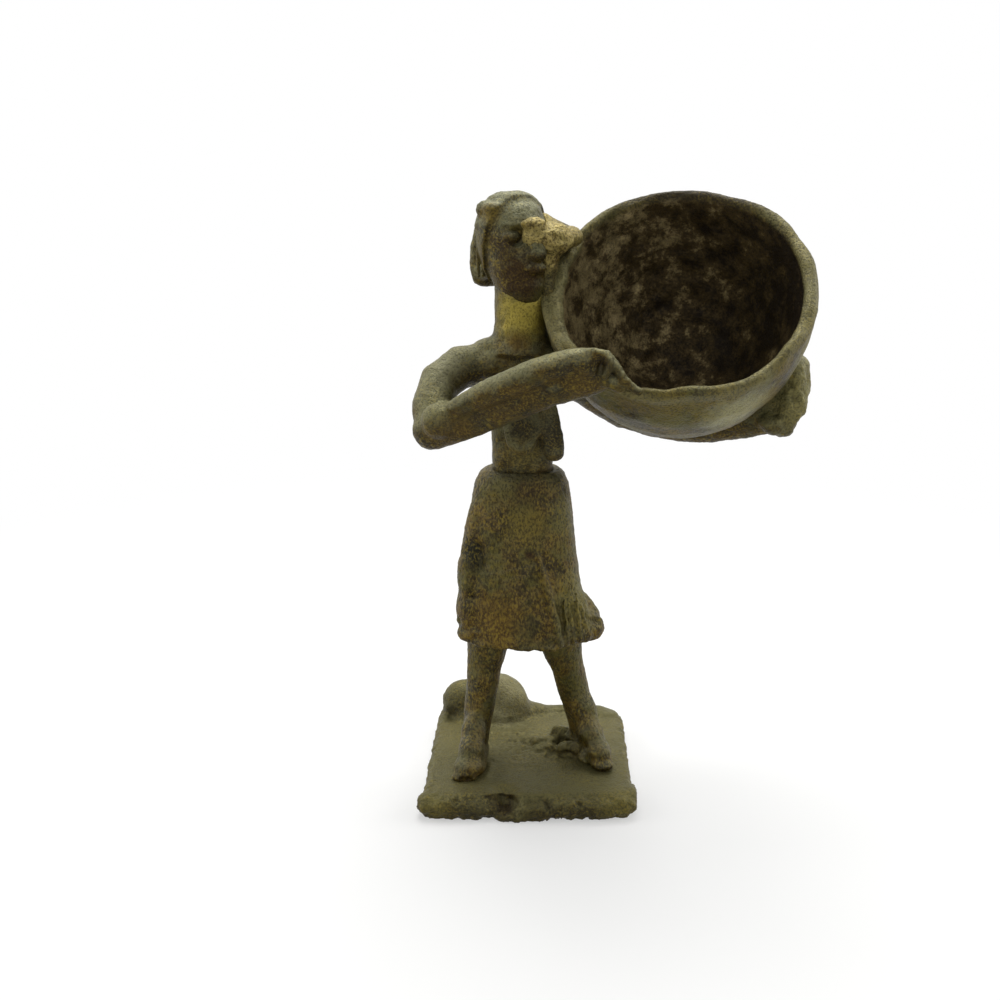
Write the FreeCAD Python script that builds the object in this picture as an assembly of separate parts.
"""Figurative gold weight in cast brass: a standing woman in a wrapper who cradles a large bowl.

The caster built the wax model from rolls, slabs, pellets and sheets, luted one to the next.
Each such element is one solid here, and each meets its neighbour face to face at the luted seam.

Millimetres. Origin at the middle of the base plate's underside, +Z up.
The figure faces -Y, so its right hand is on the -X side and its left hand on the +X side.
"""

import FreeCAD
import Part
import math
import os

V = FreeCAD.Vector
UP = V(0, 0, 1)
DOWN = V(0, 0, -1)
ACROSS = V(1, 0, 0)
BACK = V(0, 1, 0)

# Base plate and the mound on its rear corner
BASE_WIDTH = 22.2
BASE_DEPTH = 21.0
BASE_THICKNESS = 2.4
BASE_CORNER_RADIUS = 1.3
BASE_FRONT_SKEW = 0.7
BASE_EDGE_BEVEL = 0.5
MOUND_WIDTH = 10.0
MOUND_DEPTH = 7.6
MOUND_HEIGHT = 4.2
MOUND_SET_IN = 0.4

# Legs and feet
ANKLE_SPREAD = 12.2
ANKLE_SHIFT = -0.1
HIP_SPREAD = 7.6
STRIDE = 2.4
LEFT_ANKLE_SET_BACK = 1.2
HIP_SET_FORWARD = 0.4
FOOT_LENGTH = 6.6
FOOT_WIDTH = 3.7
FOOT_HEIGHT = 2.2
RIGHT_FOOT_TURN_OUT = 7.0
LEFT_FOOT_TURN_OUT = 15.0
HEEL_BEHIND_ANKLE = 1.6
ANKLE_DIAMETER = 2.6
CALF_DIAMETER = 3.5
THIGH_DIAMETER = 4.9
RIDGE_LENGTH = 5.6
RIDGE_WIDTH = 1.9
RIDGE_HEIGHT = 1.1
RIDGE_SWAY = 0.5

# Wrapper, tied at the waist
HEM_HEIGHT = 16.7
WRAPPER_HEIGHT = 18.6
WRAPPER_WIDTH = 13.4
WRAPPER_DEPTH = 9.4
WRAPPER_WALL = 1.1
WRAPPER_RECESS = 2.4
HIP_OFFSET = -0.9
LAP_THICKNESS = 0.5
LAP_HEIGHT = 9.6
LAP_EDGE = 3.0
LAP_START = -6.0
LAP_LEAN = -13.0
FOLD_LENGTH = 11.0
FOLD_ABOVE_HEM = 1.2
FOLD_SET_IN = 0.2
FOLD_WIDTH = 2.5
FOLD_DEPTH = 3.0
CLOTH_END_LENGTH = 5.8
CLOTH_END_ABOVE_HEM = 0.3
CLOTH_END_SET_BACK = 0.6
CLOTH_END_WIDTH = 2.2
CLOTH_END_DEPTH = 2.8

# Trunk
TORSO_WIDTH = 6.6
TORSO_DEPTH = 5.0
TORSO_HEIGHT = 13.2
TORSO_SEAT = 1.5
SHOULDER_WIDTH = 8.2
TORSO_SHIFT = -0.2
BREAST_BELOW_SHOULDER = 3.8
BREAST_THICKNESS = 1.7
RIGHT_BREAST_WIDTH = 3.4
RIGHT_BREAST_LENGTH = 6.8
RIGHT_BREAST_OUT = 0.3
RIGHT_BREAST_SPLAY = 0.02
LEFT_BREAST_WIDTH = 2.3
LEFT_BREAST_LENGTH = 8.1
LEFT_BREAST_OUT = 2.1
LEFT_BREAST_SPLAY = 0.16

# Neck and head
NECK_DIAMETER = 5.2
NECK_SHIFT = -0.3
NECK_LENGTH = 5.2
CHIN_BELOW_NECK_TOP = 1.4
HEAD_HEIGHT = 11.0
HEAD_WIDTH = 6.6
HEAD_DEPTH = 7.2
HEAD_TURN = 36.0
HEAD_TILT_BACK = 4.0
HEAD_SHIFT = -0.7
EYE_WIDTH = 2.0
EYE_HEIGHT = 1.0
EYE_SPACING = 4.0
NOSE_LENGTH = 2.8
NOSE_WIDTH = 1.9
MOUTH_WIDTH = 2.4
HAIR_THICKNESS = 0.4
COIL_WIDTH = 1.7
COIL_LENGTH = 2.3
COIL_HEIGHT = 1.9
COIL_ASIDE = 0.42
COIL_LEVEL = 0.86
COIL_SET_BACK = 1.0
LOCK_LENGTH = 7.2
LOCK_WIDTH = 4.8
LOCK_THICKNESS = 1.9

# Bowl
BOWL_DIAMETER = 26.9
BOWL_DEPTH = 16.9
BOWL_WALL = 1.25
BOWL_BOTTOM_WALL = 1.7
BOWL_LIP_BEVEL = 0.35
BOWL_MOUTH_ELEVATION = 44.5
BOWL_MOUTH_TURN = -13.0
BOWL_INTO_NECK = 0.3
BOWL_ABOVE_SHOULDER = 5.6

# Arms
ARM_DIAMETER = 4.2
RIGHT_SHOULDER_SET_IN = 0.2
LEFT_SHOULDER_SET_IN = 0.8
LEFT_SHOULDER_SET_BACK = 1.0
LEFT_SHOULDER_DROP = 0.4
WRIST_DIAMETER = 3.6
RIGHT_UPPER_ARM = 9.6
RIGHT_ARM_OUT = 40.0
RIGHT_ARM_DROP = 36.0
RIGHT_ARM_BOW = 2.2
BRIDGE_ANGLE = 149.0
BRIDGE_THICKNESS = 2.8
HAND_LENGTH = 5.4
HAND_WIDTH = 4.4
HAND_THICKNESS = 2.3
GRIP_ANGLE = 236.0
CRADLE_ANGLE = 330.0
LEFT_ELBOW_BEHIND_HAND = 118.0
UNDER_BOWL_BEHIND_HAND = 42.0
LEFT_WRIST_BEHIND_HAND = 11.0
LEFT_ELBOW_FALL = 60.0
LEFT_WRIST_FALL = 52.0
UNDER_BOWL_FALL = 66.0

# How a section's quarter curves fill their corners, and the rings that round off an end
ROUND = 0.552
FULL = 0.66
SQUARISH = 0.73
DOME_ANGLES = (18, 42, 66)
PELLET_ANGLES = (20, 55, 90, 125, 160)
MOUND_ANGLES = (0, 20, 40, 60, 78)
BOWL_RINGS = 8

# Heights and places that follow from the sizes above
base_top = BASE_THICKNESS
waist = HEM_HEIGHT + WRAPPER_HEIGHT
torso_foot = waist - WRAPPER_WALL - TORSO_SEAT
shoulder_height = waist + TORSO_HEIGHT
chin_height = shoulder_height + NECK_LENGTH - CHIN_BELOW_NECK_TOP
spine = HIP_OFFSET + TORSO_SHIFT
neck_axis = spine + NECK_SHIFT
arm_radius = ARM_DIAMETER / 2


def frame_at(direction, across):
    """Unit vectors across and through a section that faces along the direction."""
    along = V(direction)
    along.normalize()
    side = across - along * across.dot(along)
    side.normalize()
    return side, along.cross(side)


def oval(centre, direction, width, depth, across=ACROSS, fullness=ROUND):
    """Closed section of four quarter curves; a fullness over ROUND fills out its corners."""
    side, through = frame_at(direction, across)
    out, rise = side * (width / 2), through * (depth / 2)
    quarters = []
    for start, end in ((out, rise), (rise, -out), (-out, -rise), (-rise, out)):
        curve = Part.BezierCurve()
        poles = [start, start + end * fullness, start * fullness + end, end]
        curve.setPoles([centre + pole for pole in poles])
        quarters.append(curve.toShape())
    return Part.Wire(quarters)


def loft(sections):
    """Solid through closed sections, straight from each to the next."""
    return Part.makeLoft(sections, True, True)


def pellet(centre, width, depth, height):
    """Rounded lump of wax with its axes along X, Y and Z."""
    sections = []
    for angle in PELLET_ANGLES:
        turn = math.radians(angle)
        place = centre - UP * (math.cos(turn) * height / 2)
        sections.append(oval(place, UP, width * math.sin(turn), depth * math.sin(turn)))
    return loft(sections)


def roll(stations, across=ACROSS, fullness=ROUND, domed=(True, True), rings=5):
    """Wax roll through (centre, width, depth) stations, each end domed or cut square."""
    centres = [station[0] for station in stations]
    marks = [0.0]
    for start, end in zip(centres, centres[1:]):
        marks.append(marks[-1] + start.distanceToPoint(end))
    path = Part.BSplineCurve()
    path.interpolate(centres, Parameters=marks)
    girth = Part.BSplineCurve()
    girths = [V(width, depth, mark) for (_, width, depth), mark in zip(stations, marks)]
    girth.interpolate(girths, Parameters=marks)
    length = path.length()
    lead, trail = min(stations[0][1:]) / 2, min(stations[-1][1:]) / 2
    # Each ring has its run along the path, its overhang past the end and its share of the girth.
    places = [(length * i / (rings - 1), 0.0, 1.0) for i in range(rings)]
    for angle in reversed(DOME_ANGLES):
        over, share = math.cos(math.radians(angle)), math.sin(math.radians(angle))
        if domed[0]:
            places.insert(0, (0.0, -lead * over, share))
        if domed[1]:
            places.append((length, trail * over, share))
    sections = []
    for run, overhang, share in places:
        at = path.parameterAtDistance(run)
        along = path.tangent(at)[0]
        size = girth.value(at)
        centre = path.value(at) + along * overhang
        sections.append(oval(centre, along, size.x * share, size.y * share, across, fullness))
    return loft(sections)


def half_space(point, normal, size=200.0):
    """Large block on the far side of a plane."""
    block = Part.makeBox(size, size, size, V(-size / 2, -size / 2, 0))
    block.Placement = FreeCAD.Placement(point, FreeCAD.Rotation(UP, normal))
    return block


def only_solid(shape):
    """The largest solid of a boolean result."""
    return max(shape.Solids, key=lambda solid: solid.Volume)


def trimmed(shape, *neighbours):
    """The shape with its seats cut to the neighbours that it is luted to."""
    for neighbour in neighbours:
        shape = shape.cut(neighbour)
    return only_solid(shape)


def make_base_plate():
    """Hand-cut slab, a little out of square, with rounded corners and worn upper edges."""
    half = BASE_WIDTH / 2
    front, rear = -BASE_DEPTH / 2, BASE_DEPTH / 2
    skew = BASE_FRONT_SKEW
    corners = [V(-half - skew / 2, front - skew / 2, 0), V(half - skew / 2, front + skew, 0)]
    corners += [V(half, rear - skew / 2, 0), V(-half, rear, 0)]
    slab = Part.Face(Part.makePolygon(corners + corners[:1])).extrude(UP * BASE_THICKNESS)
    uprights = [edge for edge in slab.Edges if edge.BoundBox.ZLength > BASE_THICKNESS / 2]
    slab = slab.makeFillet(BASE_CORNER_RADIUS, uprights)
    upper = [edge for edge in slab.Edges if edge.BoundBox.ZMin > BASE_THICKNESS * 0.99]
    return only_solid(slab.makeChamfer(BASE_EDGE_BEVEL, upper))


def make_rear_mound():
    """Smooth half mound on the rear right-hand corner, cut off by the plate's rear edge."""
    rear = BASE_DEPTH / 2 - BASE_EDGE_BEVEL
    centre = V(-BASE_WIDTH / 2 + MOUND_SET_IN + MOUND_WIDTH / 2, rear, base_top)
    sections = []
    for angle in MOUND_ANGLES:
        turn = math.radians(angle)
        place = centre + UP * (math.sin(turn) * MOUND_HEIGHT)
        sections.append(oval(place, UP, MOUND_WIDTH * math.cos(turn), MOUND_DEPTH * math.cos(turn)))
    return trimmed(loft(sections), half_space(centre, BACK))


def ankle_at(side):
    """Ankle of the right (-1) or left (+1) leg; the right foot is a stride ahead."""
    out = ANKLE_SHIFT + side * ANKLE_SPREAD / 2
    return V(out, (side - 1) * STRIDE / 2 + LEFT_ANKLE_SET_BACK, base_top + FOOT_HEIGHT)


def make_foot(side):
    """Plain wedge of a foot from heel to toes, flat on the plate."""
    turn = math.radians(LEFT_FOOT_TURN_OUT if side > 0 else RIGHT_FOOT_TURN_OUT)
    ahead = V(side * math.sin(turn), -math.cos(turn), 0)
    ankle = ankle_at(side)
    heel = V(ankle.x, ankle.y, base_top) - ahead * HEEL_BEHIND_ANKLE
    stages = (
        # share of length, share of width, share of height
        (0.00, 0.55, 0.55),
        (0.12, 0.78, 0.92),
        (0.30, 0.84, 1.04),
        (0.55, 0.88, 0.80),
        (0.80, 1.00, 0.52),
        (0.95, 0.90, 0.38),
        (1.00, 0.68, 0.24),
    )
    sections = []
    for share, width, height in stages:
        centre = heel + ahead * (share * FOOT_LENGTH)
        across, girth = ahead.cross(UP), 2 * FOOT_HEIGHT * height
        sections.append(oval(centre, ahead, FOOT_WIDTH * width, girth, across, FULL))
    return trimmed(loft(sections), half_space(heel, DOWN))


def make_leg(side, foot, hips, cloth):
    """Leg roll from the foot up to its seat under the hips, inside the cloth."""
    ankle = ankle_at(side)
    hip = V(HIP_OFFSET + side * HIP_SPREAD / 2, -HIP_SET_FORWARD, HEM_HEIGHT)
    run = hip - ankle
    stations = [
        (ankle - run * 0.16, ANKLE_DIAMETER * 1.15, ANKLE_DIAMETER * 1.2),
        (ankle, ANKLE_DIAMETER, ANKLE_DIAMETER * 1.08),
        (ankle + run * 0.30, CALF_DIAMETER * 0.96, CALF_DIAMETER),
        (ankle + run * 0.60, CALF_DIAMETER, CALF_DIAMETER * 1.05),
        (hip, THIGH_DIAMETER, THIGH_DIAMETER),
        (ankle + run * 1.5, THIGH_DIAMETER * 1.05, THIGH_DIAMETER),
    ]
    leg = roll(stations, domed=(False, False))
    above = half_space(V(0, 0, HEM_HEIGHT + WRAPPER_RECESS), UP)
    return trimmed(leg, above, half_space(V(0, 0, base_top), DOWN), foot, hips, cloth)


RIDGE_STAGES = (
    # share of length, share of width, share of height
    (0.00, 1.00, 1.00),
    (0.28, 0.80, 1.05),
    (0.50, 1.10, 0.75),
    (0.80, 0.75, 0.85),
    (1.00, 0.50, 0.50),
)


def make_luting_ridge(*neighbours):
    """Rough ridge of metal left on the plate beside the left foot."""
    start = ankle_at(1) + V(-FOOT_WIDTH * 0.3, 0.1, -FOOT_HEIGHT)
    stations = []
    for share, width, height in RIDGE_STAGES:
        place = start + V(-RIDGE_LENGTH * share, RIDGE_SWAY * math.sin(7 * share), 0)
        stations.append((place, RIDGE_WIDTH * width, 2 * RIDGE_HEIGHT * height))
    return trimmed(roll(stations, BACK), half_space(V(0, 0, base_top), DOWN), *neighbours)


WRAPPER_STAGES = (
    # share of height, reach to -X and to +X as shares of the width, half depth as a share of the depth
    (0.00, 0.519, 0.481, 0.500),
    (0.14, 0.526, 0.444, 0.495),
    (0.32, 0.526, 0.388, 0.479),
    (0.55, 0.504, 0.343, 0.452),
    (0.78, 0.488, 0.306, 0.415),
    (0.91, 0.460, 0.280, 0.372),
    (0.97, 0.424, 0.246, 0.330),
    (1.00, 0.366, 0.201, 0.277),
)


def stage_at(stages, share):
    """Row of a stage table at any share of the height."""
    lower = max(stage for stage in stages if stage[0] <= share)
    upper = min(stage for stage in stages if stage[0] > share)
    blend = (share - lower[0]) / (upper[0] - lower[0])
    return [a + (b - a) * blend for a, b in zip(lower[1:], upper[1:])]


def wrapper_side(side, share, out, depth):
    """Point off the wrapper's right (-1) or left (+1) edge at a share of its height."""
    reaches = stage_at(WRAPPER_STAGES, share)
    reach = WRAPPER_WIDTH * reaches[(side + 1) // 2] + out
    return V(side * reach, depth, HEM_HEIGHT + share * WRAPPER_HEIGHT)


def wrapper_form(grow=0.0, top_drop=0.0, grow_top=None, stages=WRAPPER_STAGES):
    """Outer form of the wrapper, or the same form grown or shrunk all round."""
    grow_top = grow if grow_top is None else grow_top
    sections = []
    for share, right_share, left_share, half_depth in stages:
        extra = grow + (grow_top - grow) * share
        right, left = WRAPPER_WIDTH * right_share, WRAPPER_WIDTH * left_share
        centre = V((left - right) / 2, 0, HEM_HEIGHT + share * (WRAPPER_HEIGHT - top_drop))
        width, depth = left + right + 2 * extra, 2 * (WRAPPER_DEPTH * half_depth + extra)
        sections.append(oval(centre, UP, width, depth, ACROSS, SQUARISH))
    return loft(sections)


def make_wrapper(torso, inner):
    """Cloth wall, open below, with the trunk rising through its top."""
    return trimmed(wrapper_form(), inner, torso)


def make_hips(torso, inner):
    """Body core inside the wrapper, which carries the cloth, the legs and the trunk."""
    return trimmed(inner, half_space(V(0, 0, HEM_HEIGHT + WRAPPER_RECESS), DOWN), torso)


def make_outer_lap(form):
    """Outer lap of the cloth over the front, which stands prouder of it towards the hem."""
    fade = LAP_THICKNESS * (1 - 0.8 * WRAPPER_HEIGHT / LAP_HEIGHT)
    lap = wrapper_form(LAP_THICKNESS, 0.0, fade)
    reach = 3 * BASE_WIDTH
    keep = Part.makeBox(reach, reach, HEM_HEIGHT + LAP_HEIGHT, V(LAP_EDGE - reach, -reach, 0))
    keep.rotate(V(LAP_EDGE, 0, HEM_HEIGHT), BACK, LAP_LEAN)
    return trimmed(lap.common(keep), half_space(V(LAP_START, 0, 0), -ACROSS), form)


FOLD_STAGES = (
    # share of length, share of width, share of depth, setting forward
    (1.00, 0.64, 0.60, 0.9),
    (0.73, 0.86, 0.87, 1.1),
    (0.44, 0.91, 0.97, 1.2),
    (0.16, 1.00, 1.00, 1.3),
    (0.00, 0.91, 0.90, 1.3),
)


def make_side_fold(form, lap, leg):
    """Gathered end of the cloth that hangs down the right hip to the hem."""
    foot_share = FOLD_ABOVE_HEM / WRAPPER_HEIGHT
    rise = FOLD_LENGTH / WRAPPER_HEIGHT
    stations = []
    for share, width, depth, ahead in FOLD_STAGES:
        place = wrapper_side(-1, foot_share + share * rise, -FOLD_SET_IN, -ahead)
        stations.append((place, FOLD_WIDTH * width, FOLD_DEPTH * depth))
    return trimmed(roll(stations), form, lap, leg)


CLOTH_END_STAGES = (
    # share of length, share of width, share of depth, standing out past the wrapper's edge
    (1.00, 0.46, 0.57, -0.80),
    (0.61, 0.73, 0.86, -0.50),
    (0.28, 1.00, 1.00, 0.25),
    (0.00, 1.00, 0.97, 0.30),
)


def make_cloth_end(form):
    """Flared end of the tuck that stands out at the left hip, blunt at the hem."""
    foot_share = CLOTH_END_ABOVE_HEM / WRAPPER_HEIGHT
    rise = CLOTH_END_LENGTH / WRAPPER_HEIGHT
    stations = []
    for share, width, depth, out in CLOTH_END_STAGES:
        place = wrapper_side(1, foot_share + share * rise, out, CLOTH_END_SET_BACK)
        stations.append((place, CLOTH_END_WIDTH * width, CLOTH_END_DEPTH * depth))
    return trimmed(roll(stations), form)


def make_torso(bowl):
    """Slim upright block, squared in section, widening to the shoulders."""
    stages = (
        # height, share of width, share of depth
        (torso_foot, 0.94, 0.92),
        (waist, 0.95, 0.92),
        (waist + 0.35 * TORSO_HEIGHT, 1.00, 0.98),
        (waist + 0.65 * TORSO_HEIGHT, 1.08, 1.00),
        (waist + 0.86 * TORSO_HEIGHT, SHOULDER_WIDTH / TORSO_WIDTH, 0.98),
        (waist + 0.96 * TORSO_HEIGHT, 1.00, 0.90),
        (shoulder_height, 0.72, 0.78),
    )
    sections = []
    for height, width, depth in stages:
        width, depth = TORSO_WIDTH * width, TORSO_DEPTH * depth
        sections.append(oval(V(spine, 0, height), UP, width, depth, ACROSS, SQUARISH))
    return trimmed(loft(sections), bowl)


def make_breast(out, width, length, splay, torso):
    """Long hanging breast, thickest at its blunt lower end."""
    height = shoulder_height - BREAST_BELOW_SHOULDER
    root = V(spine + out, -TORSO_DEPTH * 0.42, height)
    down = V(splay, -0.16, -1.0)
    down.normalize()
    reach = length - BREAST_THICKNESS / 2
    stations = [
        (root, width * 0.60, BREAST_THICKNESS * 0.60),
        (root + down * (0.35 * reach), width * 0.80, BREAST_THICKNESS * 0.80),
        (root + down * (0.75 * reach), width, BREAST_THICKNESS),
        (root + down * reach, width * 0.90, BREAST_THICKNESS),
    ]
    return trimmed(roll(stations), torso)


def mouth_direction():
    """Unit vector out of the bowl's mouth, forward and up, a little towards the head."""
    rise = math.radians(BOWL_MOUTH_ELEVATION)
    turn = math.radians(BOWL_MOUTH_TURN)
    return V(math.sin(turn) * math.cos(rise), -math.cos(turn) * math.cos(rise), math.sin(rise))


def mouth_level():
    """Unit vector along the mouth's level diameter, away from the neck."""
    return UP.cross(mouth_direction()).normalize()


def mouth_centre():
    """Middle of the rim, whose near side is pressed a little into the side of the neck."""
    out = neck_axis + NECK_DIAMETER / 2 - BOWL_INTO_NECK
    beside_neck = V(out, 0, shoulder_height + BOWL_ABOVE_SHOULDER)
    return beside_neck + mouth_level() * (BOWL_DIAMETER / 2)


def bowl_skin(angle, fall, off=0.0):
    """Point off the bowl's outer wall.

    The angle runs round the rim from the far +X side over its high side. The fall runs from the
    rim at 0 down the wall to the bottom at 90, and below 0 the point lies ahead of the rim.
    """
    facing, level = mouth_direction(), mouth_level()
    lift = facing.cross(level)
    turn, drop = math.radians(angle), math.radians(fall)
    spoke = level * math.cos(turn) + lift * math.sin(turn)
    outward = (BOWL_DIAMETER / 2 + off) * math.cos(drop)
    return mouth_centre() + spoke * outward - facing * ((BOWL_DEPTH + off) * math.sin(drop))


def dish(radius, depth, lip):
    """Solid half egg below the origin, mouth up; its lip turns in or out by a small bevel."""
    sections = [oval(V(0, 0, 0), UP, 2 * (radius - lip), 2 * (radius - lip))]
    for ring in range(BOWL_RINGS):
        turn = math.radians(2 + 83 * ring / (BOWL_RINGS - 1))
        width = 2 * radius * math.cos(turn)
        sections.append(oval(V(0, 0, -depth * math.sin(turn)), UP, width, width))
    return loft(sections)


def place_bowl(shape):
    """Turns a shape modelled mouth up at the origin into the bowl's real place."""
    placed = shape.copy()
    placed.Placement = FreeCAD.Placement(mouth_centre(), FreeCAD.Rotation(UP, mouth_direction()))
    return placed


def bowl_envelope():
    """Whole outer form of the bowl with its mouth closed, to cut what seats on it."""
    return place_bowl(dish(BOWL_DIAMETER / 2, BOWL_DEPTH, BOWL_LIP_BEVEL))


def make_bowl():
    """Deep round bowl with a thin wall, thicker at the bottom, and a softened rim."""
    outer = dish(BOWL_DIAMETER / 2, BOWL_DEPTH, BOWL_LIP_BEVEL)
    inner = dish(BOWL_DIAMETER / 2 - BOWL_WALL, BOWL_DEPTH - BOWL_BOTTOM_WALL, -BOWL_LIP_BEVEL)
    return place_bowl(only_solid(outer.cut(inner)))


def right_shoulder():
    return V(spine - SHOULDER_WIDTH / 2 + RIGHT_SHOULDER_SET_IN, 0, shoulder_height - arm_radius)


def left_shoulder():
    out = spine + SHOULDER_WIDTH / 2 - LEFT_SHOULDER_SET_IN
    return V(out, LEFT_SHOULDER_SET_BACK, shoulder_height - arm_radius - LEFT_SHOULDER_DROP)


def right_elbow():
    """End of the upper arm, out to the side, forward and down."""
    out, drop = math.radians(RIGHT_ARM_OUT), math.radians(RIGHT_ARM_DROP)
    level = V(-math.sin(out) * math.cos(drop), -math.cos(out) * math.cos(drop), -math.sin(drop))
    return right_shoulder() + level * RIGHT_UPPER_ARM


def grip_point():
    """Middle of the right hand, on the rim's outer edge."""
    return bowl_skin(GRIP_ANGLE, -4.0, 0.3)


def right_wrist():
    elbow = right_elbow()
    reach = grip_point() - elbow
    return elbow + reach * (1 - 0.55 * HAND_LENGTH / reach.Length)


def left_elbow():
    """Behind the bowl, close under its bottom."""
    return bowl_skin(CRADLE_ANGLE - LEFT_ELBOW_BEHIND_HAND, LEFT_ELBOW_FALL, arm_radius * 0.55)


def left_wrist():
    """Under the bowl, short of the hand."""
    return bowl_skin(CRADLE_ANGLE - LEFT_WRIST_BEHIND_HAND, LEFT_WRIST_FALL, WRIST_DIAMETER * 0.25)


def make_right_forearm(bowl):
    """Forearm with the rounded elbow, carried across the chest to the bowl's rim."""
    elbow, wrist = right_elbow(), right_wrist()
    stations = [
        (elbow, ARM_DIAMETER, ARM_DIAMETER),
        (elbow * 0.5 + wrist * 0.5, ARM_DIAMETER * 0.97, ARM_DIAMETER * 0.97),
        (wrist, WRIST_DIAMETER, WRIST_DIAMETER),
    ]
    return trimmed(roll(stations, UP, domed=(True, False)), bowl)


def make_right_upper_arm(torso, neck, forearm):
    """Upper arm from the rounded shoulder out to the elbow."""
    shoulder, elbow = right_shoulder(), right_elbow()
    middle = shoulder * 0.6 + elbow * 0.4 + V(-0.8, 0.4, 0.6) * RIGHT_ARM_BOW
    hinge = (middle - shoulder).cross(elbow - middle)
    stations = [
        (shoulder, ARM_DIAMETER, ARM_DIAMETER),
        (middle, ARM_DIAMETER, ARM_DIAMETER),
        (elbow, ARM_DIAMETER * 0.92, ARM_DIAMETER * 0.92),
    ]
    return trimmed(roll(stations, hinge, domed=(True, False)), torso, neck, forearm)


def make_right_hand(forearm, bowl):
    """Flattened hand that closes on the rim from outside."""
    wrist = right_wrist()
    ahead = grip_point() - wrist
    ahead.normalize()
    across = ahead.cross(grip_point() - mouth_centre())
    stations = [
        (wrist, WRIST_DIAMETER, WRIST_DIAMETER),
        (wrist + ahead * (0.35 * HAND_LENGTH), HAND_WIDTH * 0.95, HAND_THICKNESS * 1.2),
        (wrist + ahead * (0.75 * HAND_LENGTH), HAND_WIDTH, HAND_THICKNESS),
        (wrist + ahead * HAND_LENGTH, HAND_WIDTH * 0.85, HAND_THICKNESS * 0.8),
    ]
    return trimmed(roll(stations, across, FULL, (False, True)), forearm, bowl)


def make_left_upper_arm(torso, bowl, neck):
    """Upper arm from the left shoulder down behind the bowl."""
    stations = [(left_shoulder(), ARM_DIAMETER, ARM_DIAMETER), (left_elbow(), ARM_DIAMETER, ARM_DIAMETER)]
    return trimmed(roll(stations, UP), torso, bowl, neck)


def make_left_forearm(upper_arm, bowl):
    """Forearm that runs under the bowl's bottom to its far side."""
    under = bowl_skin(CRADLE_ANGLE - UNDER_BOWL_BEHIND_HAND, UNDER_BOWL_FALL, arm_radius * 0.15)
    stations = [
        (left_elbow(), ARM_DIAMETER * 0.95, ARM_DIAMETER * 0.95),
        (under, ARM_DIAMETER * 0.95, ARM_DIAMETER * 0.95),
        (left_wrist(), WRIST_DIAMETER, WRIST_DIAMETER),
    ]
    return trimmed(roll(stations, UP, domed=(False, False)), upper_arm, bowl)


LEFT_HAND_STAGES = (
    # angle past the heel, fall down the bowl, shares of the thickness off the bowl, of the width and of
    # the thickness
    (0.5, 44.5, 0.70, 0.95, 1.70),
    (9.0, 39.5, 0.80, 1.00, 1.80),
    (16.0, 36.0, 0.65, 0.95, 1.50),
    (22.0, 32.0, 0.35, 0.80, 1.00),
)


def make_left_hand(forearm, bowl):
    """Cupped hand pressed up against the far side of the bowl."""
    stations = [(left_wrist(), WRIST_DIAMETER, WRIST_DIAMETER)]
    for past_heel, fall, off, width, thickness in LEFT_HAND_STAGES:
        place = bowl_skin(CRADLE_ANGLE + past_heel, fall, HAND_THICKNESS * off)
        stations.append((place, HAND_WIDTH * width, HAND_THICKNESS * thickness))
    across = (stations[-1][0] - stations[0][0]).cross(stations[2][0] - mouth_centre())
    return trimmed(roll(stations, across, FULL), forearm, bowl)


HEAD_STAGES = (
    # share of height, share of width, share of depth, setting forward; in the head's own frame
    (0.00, 0.30, 0.30, 1.30),
    (0.05, 0.50, 0.52, 1.10),
    (0.16, 0.72, 0.74, 0.75),
    (0.34, 0.88, 0.90, 0.35),
    (0.54, 0.97, 0.98, 0.00),
    (0.72, 1.00, 1.00, -0.20),
    (0.87, 0.84, 0.84, -0.35),
    (0.96, 0.52, 0.54, -0.45),
    (1.00, 0.24, 0.26, -0.50),
)
EYE_LEVEL = 0.61
NOSE_TIP_LEVEL = 0.46
MOUTH_LEVEL = 0.33


def head_form(grow=0.0):
    """Egg of the skull and jaw, chin at the origin, facing -Y."""
    sections = []
    for share, width, depth, forward in HEAD_STAGES:
        centre = V(0, -forward, share * HEAD_HEIGHT + (share - 0.5) * grow)
        sections.append(oval(centre, UP, HEAD_WIDTH * width + 2 * grow, HEAD_DEPTH * depth + 2 * grow))
    return loft(sections)


def face_at(aside, share):
    """Point on the front of the face at a sideways offset and a share of the head's height."""
    width, depth, forward = stage_at(HEAD_STAGES, share)
    reach = HEAD_DEPTH * depth / 2 * math.sqrt(1 - (2 * aside / (HEAD_WIDTH * width)) ** 2)
    return V(aside, -forward - reach, share * HEAD_HEIGHT)


def place_head(shape):
    """Turns a shape from the head's own frame to its place on the neck."""
    placed = shape.copy()
    placed.rotate(V(0, 0, 0), ACROSS, -HEAD_TILT_BACK)
    placed.rotate(V(0, 0, 0), UP, HEAD_TURN)
    placed.translate(V(spine + HEAD_SHIFT, 0, chin_height))
    return placed


def make_head():
    """Skull and jaw with shallow eye sockets under the brow."""
    head = head_form()
    for side in (-1, 1):
        place = face_at(side * EYE_SPACING / 2, EYE_LEVEL)
        head = head.cut(pellet(place - BACK * 0.2, EYE_WIDTH * 1.3, 1.7, EYE_HEIGHT * 2.0))
    return only_solid(head)


def make_eye(side, head):
    """Coffee-bean pellet with a slit across it."""
    place = face_at(side * EYE_SPACING / 2, EYE_LEVEL) + BACK * 0.45
    bean = pellet(place, EYE_WIDTH, 1.3, EYE_HEIGHT)
    slit = Part.makeBox(2 * EYE_WIDTH, 1.0, 0.14, place + V(-EYE_WIDTH, -1.45, -0.07))
    return trimmed(bean.cut(slit), head)


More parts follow.
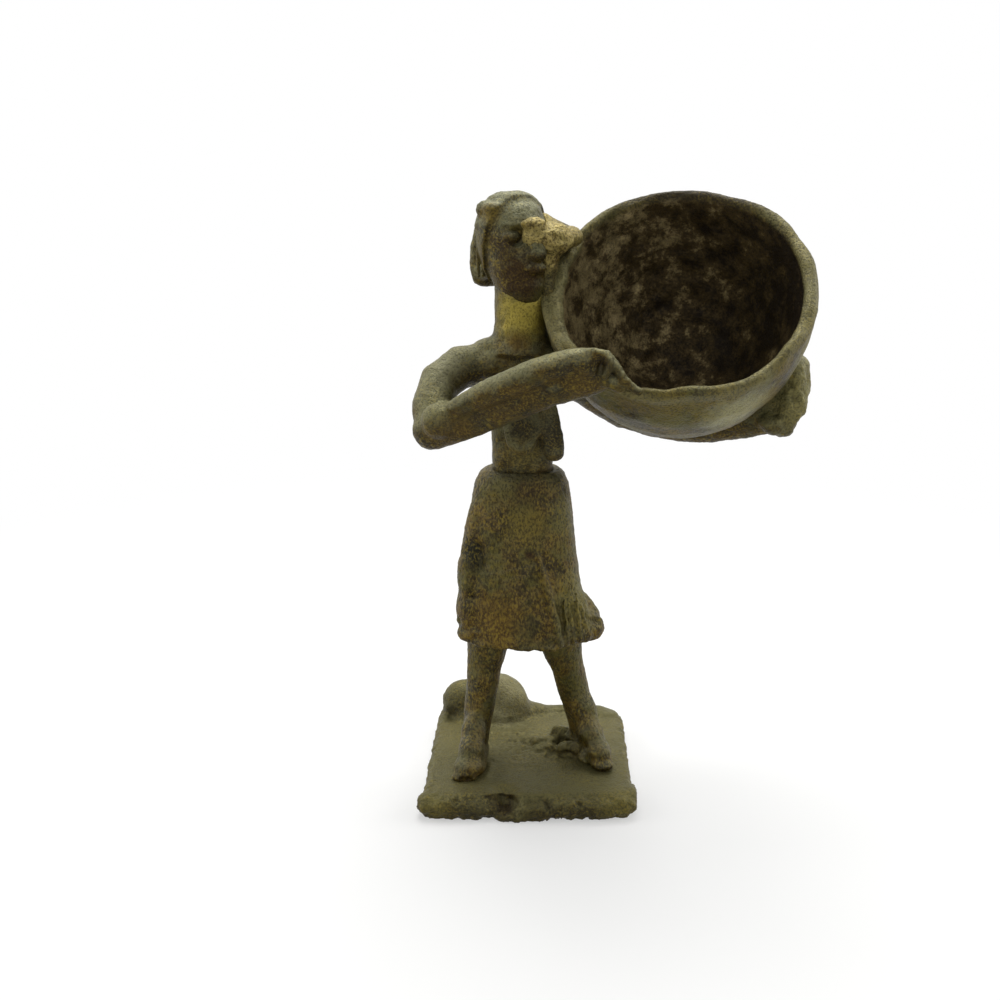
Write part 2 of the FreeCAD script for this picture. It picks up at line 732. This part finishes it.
def make_nose(head):
    """Straight wedge of a nose, broad at the nostrils."""
    tip = face_at(0, NOSE_TIP_LEVEL)
    bridge = face_at(0, NOSE_TIP_LEVEL + NOSE_LENGTH / HEAD_HEIGHT)
    stations = [
        (bridge + BACK * 0.15, NOSE_WIDTH * 0.55, 0.8),
        (bridge * 0.45 + tip * 0.55 - BACK * 0.15, NOSE_WIDTH * 0.75, 1.3),
        (tip - BACK * 0.25, NOSE_WIDTH, 1.7),
    ]
    return trimmed(roll(stations), head)


def make_mouth(head):
    """Small oval mouth with closed lips."""
    place = face_at(0, MOUTH_LEVEL) + BACK * 0.1
    lips = pellet(place, MOUTH_WIDTH, 1.4, 1.3)
    parting = Part.makeBox(2 * MOUTH_WIDTH, 1.0, 0.16, place + V(-MOUTH_WIDTH, -1.45, -0.08))
    return trimmed(lips.cut(parting), head)


def make_hair(head):
    """Dressed hair over the back of the skull, with a low ridge at the hairline."""
    line = V(0, -0.9, 0.80 * HEAD_HEIGHT)
    ahead_of_line = half_space(line, V(0, -1.0, -0.45).normalize())
    below_nape = half_space(V(0, 0, 0.22 * HEAD_HEIGHT), DOWN)
    return trimmed(head_form(HAIR_THICKNESS), ahead_of_line, below_nape, head)


def make_temple_coil(head, hair):
    """Small coil of hair over the right temple."""
    place = face_at(-HEAD_WIDTH * COIL_ASIDE, COIL_LEVEL) + BACK * COIL_SET_BACK
    coil = pellet(place, COIL_WIDTH, COIL_LENGTH, COIL_HEIGHT)
    return trimmed(coil, head, hair)


def make_lock(head, hair, neck):
    """Flat lock that hangs from the back of the head to below the nape."""
    top = 0.86 * HEAD_HEIGHT
    stations = [
        (V(0, HEAD_DEPTH * 0.46, top), LOCK_WIDTH * 0.62, LOCK_THICKNESS * 0.7),
        (V(0, HEAD_DEPTH * 0.57, top - 0.34 * LOCK_LENGTH), LOCK_WIDTH * 0.9, LOCK_THICKNESS * 0.95),
        (V(0, HEAD_DEPTH * 0.62, top - 0.66 * LOCK_LENGTH), LOCK_WIDTH, LOCK_THICKNESS),
        (V(0, HEAD_DEPTH * 0.64, top - 0.95 * LOCK_LENGTH), LOCK_WIDTH * 0.86, LOCK_THICKNESS * 0.8),
    ]
    return trimmed(place_head(roll(stations, fullness=SQUARISH)), head, hair, neck)


def make_neck(torso, head, bowl):
    """Long smooth neck, a little flared where it meets the shoulders."""
    stages = (
        # height above the shoulders, share of the diameter
        (-0.9, 1.25),
        (0.7, 1.06),
        (2.2, 1.0),
        (NECK_LENGTH - 0.8, 1.0),
        (NECK_LENGTH + 1.2, 1.02),
    )
    sections = []
    for height, size in stages:
        place = V(neck_axis, 0, shoulder_height + height)
        sections.append(oval(place, UP, NECK_DIAMETER * size, NECK_DIAMETER * size))
    return trimmed(loft(sections), torso, head, bowl)


def make_rim_bridge(head, hair, eye, bowl):
    """Rough lump of metal that joins the temple to the bowl's rim."""
    temple = place_head(Part.Vertex(HEAD_WIDTH * 0.36, -0.9, 0.68 * HEAD_HEIGHT)).Point
    rim = bowl_skin(BRIDGE_ANGLE, 3.0)
    stations = [
        (temple, BRIDGE_THICKNESS * 1.22, BRIDGE_THICKNESS * 1.28),
        ((temple + rim) * 0.5, BRIDGE_THICKNESS, BRIDGE_THICKNESS),
        (rim, BRIDGE_THICKNESS * 0.94, BRIDGE_THICKNESS),
    ]
    return trimmed(roll(stations, UP, domed=(True, False)), head, hair, eye, bowl)


def build():
    """All the wax elements by name."""
    envelope = bowl_envelope()
    form = wrapper_form()
    inner = wrapper_form(-WRAPPER_WALL, WRAPPER_WALL, stages=WRAPPER_STAGES[::2] + WRAPPER_STAGES[-1:])
    torso = make_torso(envelope)
    right_breast = make_breast(
        -RIGHT_BREAST_OUT, RIGHT_BREAST_WIDTH, RIGHT_BREAST_LENGTH, RIGHT_BREAST_SPLAY, torso)
    left_breast = make_breast(
        LEFT_BREAST_OUT, LEFT_BREAST_WIDTH, LEFT_BREAST_LENGTH, LEFT_BREAST_SPLAY, torso)
    hips = make_hips(torso, inner)
    lap = make_outer_lap(form)
    feet = {side: make_foot(side) for side in (-1, 1)}
    cloth = make_wrapper(torso, inner)
    legs = {side: make_leg(side, feet[side], hips, cloth) for side in (-1, 1)}

    head_local = make_head()
    hair_local = make_hair(head_local)
    head, hair = place_head(head_local), place_head(hair_local)
    left_eye = place_head(make_eye(1, head_local))
    neck = make_neck(torso, head, envelope)

    right_forearm = make_right_forearm(envelope)
    left_upper_arm = make_left_upper_arm(torso, envelope, neck)
    left_forearm = make_left_forearm(left_upper_arm, envelope)
    return {
        "base_plate": make_base_plate(),
        "rear_mound": make_rear_mound(),
        "right_foot": feet[-1],
        "left_foot": feet[1],
        "luting_ridge": make_luting_ridge(feet[1], legs[1]),
        "right_leg": legs[-1],
        "left_leg": legs[1],
        "hips": hips,
        "wrapper": cloth,
        "wrapper_outer_lap": lap,
        "wrapper_side_fold": make_side_fold(form, lap, legs[-1]),
        "wrapper_cloth_end": make_cloth_end(form),
        "torso": torso,
        "right_breast": right_breast,
        "left_breast": left_breast,
        "neck": neck,
        "head": head,
        "hair": hair,
        "temple_coil": place_head(make_temple_coil(head_local, hair_local)),
        "nape_lock": make_lock(head, hair, neck),
        "right_eye": place_head(make_eye(-1, head_local)),
        "left_eye": left_eye,
        "nose": place_head(make_nose(head_local)),
        "mouth": place_head(make_mouth(head_local)),
        "rim_bridge": make_rim_bridge(head, hair, left_eye, envelope),
        "bowl": make_bowl(),
        "right_upper_arm": make_right_upper_arm(torso, neck, right_forearm),
        "right_forearm": right_forearm,
        "right_hand": make_right_hand(right_forearm, envelope),
        "left_upper_arm": left_upper_arm,
        "left_forearm": left_forearm,
        "left_hand": make_left_hand(left_forearm, envelope),
    }


os.makedirs("parts", exist_ok=True)
for name, shape in build().items():
    shape.exportStep("parts/" + name + ".step")
